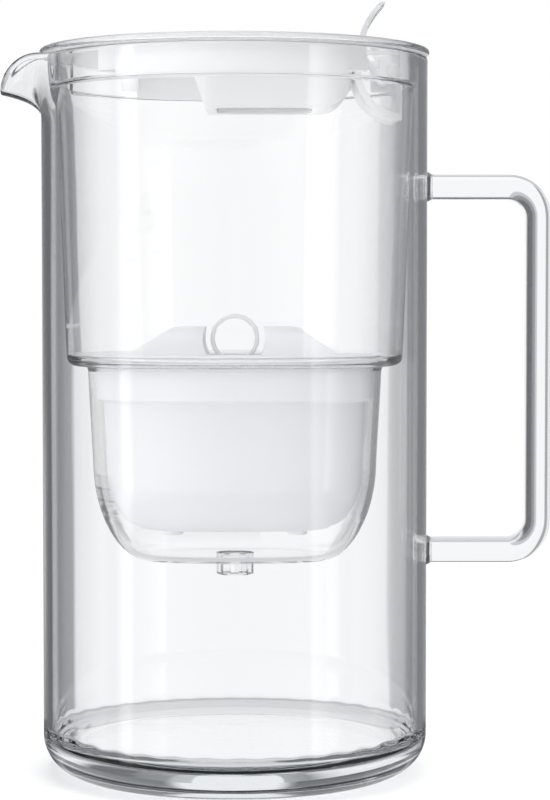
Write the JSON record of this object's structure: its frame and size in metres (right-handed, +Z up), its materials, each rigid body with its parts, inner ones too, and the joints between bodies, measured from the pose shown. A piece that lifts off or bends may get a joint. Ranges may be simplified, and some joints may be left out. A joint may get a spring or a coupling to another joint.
{
  "type": "water filter pitcher",
  "caption": "Tall glass pitcher with a drawn spout and a D handle, holding a clear filter funnel, an oval cartridge and a white lid with a flip flap.",
  "frame": {"origin": "centre of the jug's flat base, on the surface that it stands on", "axes": "+Z up along the jug's axis, -X towards the spout, +X towards the handle"},
  "size_m": [0.1856, 0.131, 0.2594],
  "materials": {
    "borosilicate_glass": "polished clear glass",
    "clear_plastic": "clear moulded copolyester",
    "white_plastic": "satin moulded polypropylene",
    "frosted_plastic": "frosted thin polypropylene",
    "silicone": "soft matte silicone",
    "screen_mesh": "fine woven mesh",
    "felt": "pressed white felt",
    "filter_beads": "packed carbon and resin beads"
  },
  "bodies": {
    "jug": {"glass_jug": "borosilicate_glass", "handle": "borosilicate_glass"},
    "funnel": {"funnel": "clear_plastic", "rim_gasket": "silicone"},
    "cartridge": {"cartridge_shell": "white_plastic", "cartridge_cap": "white_plastic", "pull_ring": "white_plastic", "lip_seal": "silicone", "inlet_screen": "screen_mesh", "felt_pad": "felt", "filter_media": "filter_beads", "outlet_screen": "screen_mesh"},
    "lid": {"lid_frame": "white_plastic"},
    "flap": {"flap": "white_plastic", "thumb_tab": "frosted_plastic", "flap_seal": "silicone"}
  },
  "joints": [
    {"name": "funnel_lift", "type": "slide", "parent": "jug", "child": "funnel", "axis": [0, 0, 1], "range_m": [0, 0.19]},
    {"name": "cartridge_lift", "type": "slide", "parent": "funnel", "child": "cartridge", "axis": [0, 0, 1], "range_m": [0, 0.055]},
    {"name": "lid_lift", "type": "slide", "parent": "funnel", "child": "lid", "axis": [0, 0, 1], "range_m": [0, 0.06]},
    {"name": "flap_hinge", "type": "hinge", "parent": "lid", "child": "flap", "pos_m": [0.0515, 0, 0.235], "axis": [0, 1, 0], "range_deg": [0, 60]}
  ]
}
